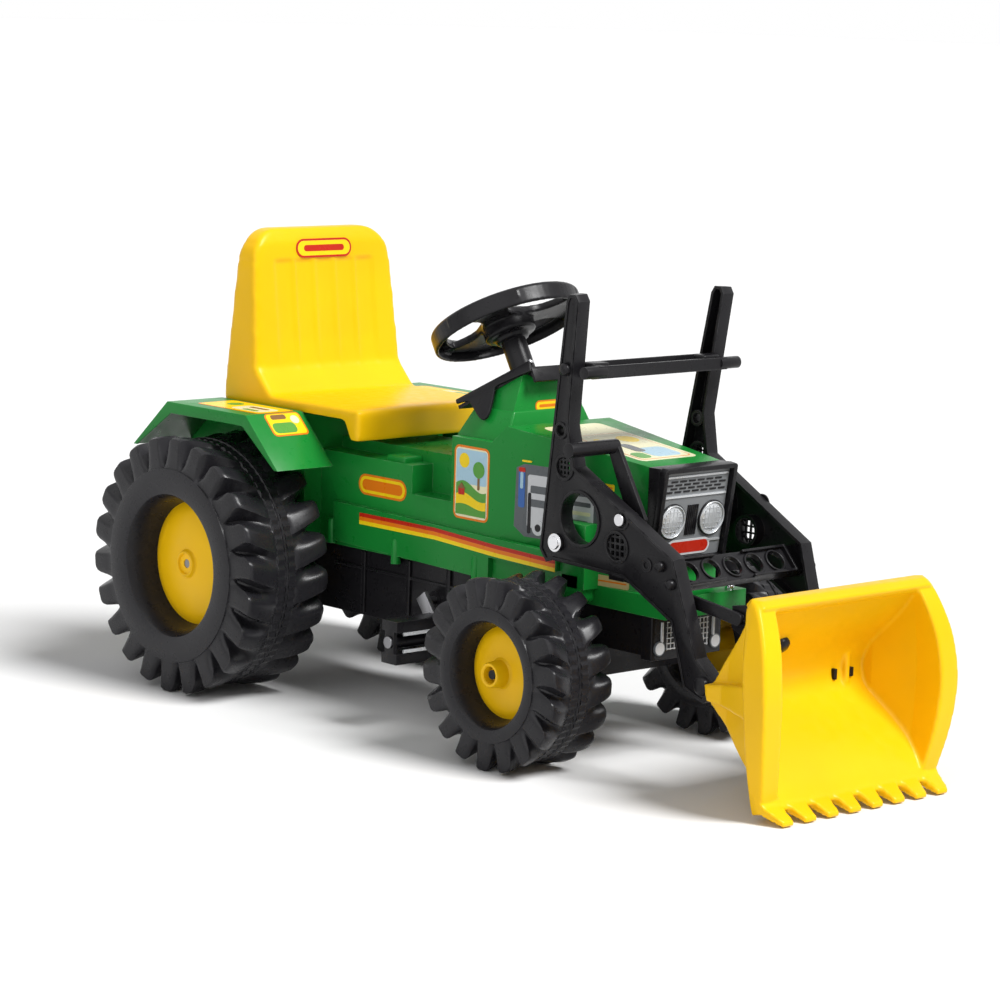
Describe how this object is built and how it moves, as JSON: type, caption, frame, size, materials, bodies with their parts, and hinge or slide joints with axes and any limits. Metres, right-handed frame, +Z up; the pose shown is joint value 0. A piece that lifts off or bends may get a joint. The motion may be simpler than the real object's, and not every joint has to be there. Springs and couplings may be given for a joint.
{
  "type": "pedal tractor with front loader",
  "caption": "Ride-on plastic pedal tractor for a child, with a contoured seat, chain drive, steered front wheels, and a front loader whose lever tips the bucket.",
  "frame": {"origin": "on the floor below the middle of the part's box", "axes": "+X forward towards the bucket, +Y to the rider's left, +Z up"},
  "size_m": [1.2299, 0.564, 0.642],
  "materials": {
    "green": "glossy moulded green plastic",
    "yellow": "glossy moulded yellow plastic",
    "black": "satin moulded black plastic",
    "tyre": "blow-moulded black plastic with a soft sheen",
    "grille": "printed grey grille panel",
    "lamp": "printed pale lamp lens",
    "steel": "plain zinc-plated steel",
    "chrome": "polished cap nuts"
  },
  "bodies": {
    "chassis": {"body_shell": "green", "lower_chassis": "black", "front_bumper": "black", "hood_mask": "black", "grille_panel": "grille", "headlights": "lamp", "dash_visor": "black", "seat": "yellow", "seat_bolts": "steel", "fender_right": "green", "fender_left": "green", "front_axle_beam": "black", "kingpins": "steel", "rear_axle_bushes": "black", "crank_bushes": "black", "drive_chain": "steel", "loader_pivot_rod": "steel", "pivot_spacers": "black", "pivot_cap_nuts": "chrome", "column_bracket": "black", "column_collar": "black"},
    "rear_wheels": {"rear_axle": "steel", "rear_sprocket": "steel", "rear_tyre_right": "tyre", "rear_tyre_left": "tyre", "rear_disc_right": "yellow", "rear_disc_left": "yellow", "rear_washers": "steel"},
    "crank": {"pedal_crank": "steel", "crank_sprocket": "steel"},
    "right_pedal": {"pedal_right": "black"},
    "left_pedal": {"pedal_left": "black"},
    "steering": {"steering_wheel": "black", "steering_column": "black", "steering_screw": "steel"},
    "right_knuckle": {"steering_knuckle_right": "black"},
    "left_knuckle": {"steering_knuckle_left": "black"},
    "track_rod": {"tie_rod": "steel"},
    "right_front_wheel": {"front_tyre_right": "tyre", "front_disc_right": "yellow"},
    "left_front_wheel": {"front_tyre_left": "tyre", "front_disc_left": "yellow"},
    "loader": {"loader_arm_right": "black", "loader_arm_left": "black", "loader_top_bar": "black", "loader_cross_member": "black", "bucket_hinge_pins": "steel", "tilt_lever_bolt": "chrome"},
    "lever": {"tilt_lever": "black"},
    "link": {"tilt_link": "black"},
    "scoop": {"bucket": "yellow", "bucket_bracket": "black"}
  },
  "joints": [
    {"name": "rear_axle_turn", "type": "hinge", "parent": "chassis", "child": "rear_wheels", "pos_m": [-0.435, 0, 0.18], "axis": [0, 1, 0], "continuous": true},
    {"name": "crank_turn", "type": "hinge", "parent": "chassis", "child": "crank", "pos_m": [-0.09, 0, 0.165], "axis": [0, 1, 0], "continuous": true},
    {"name": "right_pedal_turn", "type": "hinge", "parent": "crank", "child": "right_pedal", "pos_m": [-0.05799, -0.158, 0.12402], "axis": [0, 1, 0], "continuous": true},
    {"name": "left_pedal_turn", "type": "hinge", "parent": "crank", "child": "left_pedal", "pos_m": [-0.12201, 0.158, 0.20598], "axis": [0, 1, 0], "continuous": true},
    {"name": "steering_turn", "type": "hinge", "parent": "chassis", "child": "steering", "pos_m": [-0.021, 0, 0.47], "axis": [-0.5, 0, 0.866], "range_deg": [-25, 25]},
    {"name": "right_knuckle_turn", "type": "hinge", "parent": "chassis", "child": "right_knuckle", "pos_m": [0.182, -0.112, 0.125], "axis": [0, 0, 1], "range_deg": [-21, 21]},
    {"name": "left_knuckle_turn", "type": "hinge", "parent": "chassis", "child": "left_knuckle", "pos_m": [0.182, 0.112, 0.125], "axis": [0, 0, 1], "range_deg": [-21, 21]},
    {"name": "track_rod_slide", "type": "slide", "parent": "chassis", "child": "track_rod", "axis": [0, 1, 0], "range_m": [-0.016, 0.016]},
    {"name": "right_front_wheel_turn", "type": "hinge", "parent": "right_knuckle", "child": "right_front_wheel", "pos_m": [0.182, -0.1925, 0.125], "axis": [0, 1, 0], "continuous": true},
    {"name": "left_front_wheel_turn", "type": "hinge", "parent": "left_knuckle", "child": "left_front_wheel", "pos_m": [0.182, 0.1925, 0.125], "axis": [0, 1, 0], "continuous": true},
    {"name": "loader_lift", "type": "hinge", "parent": "chassis", "child": "loader", "pos_m": [0.183, 0, 0.286], "axis": [0, -1, 0], "range_deg": [0, 25]},
    {"name": "tilt_lever_turn", "type": "hinge", "parent": "loader", "child": "lever", "pos_m": [0.299, -0.1005, 0.331], "axis": [0, 1, 0], "range_deg": [0, 21]},
    {"name": "tilt_link_turn", "type": "hinge", "parent": "lever", "child": "link", "pos_m": [0.267, -0.0937, 0.254], "axis": [0, 1, 0], "range_deg": [-18.5, 0]},
    {"name": "bucket_tilt", "type": "hinge", "parent": "loader", "child": "scoop", "pos_m": [0.442, 0, 0.142], "axis": [0, 1, 0], "range_deg": [-18, 0]}
  ],
  "couplings": [
    {"joint": "crank_turn", "follows": "rear_axle_turn", "ratio": 1},
    {"joint": "right_knuckle_turn", "follows": "steering_turn", "ratio": 0.8293},
    {"joint": "left_knuckle_turn", "follows": "steering_turn", "ratio": 0.8293},
    {"joint": "track_rod_slide", "follows": "steering_turn", "m_per_rad": -0.03574},
    {"joint": "tilt_link_turn", "follows": "tilt_lever_turn", "ratio": -0.849},
    {"joint": "bucket_tilt", "follows": "tilt_lever_turn", "ratio": -0.8256}
  ]
}
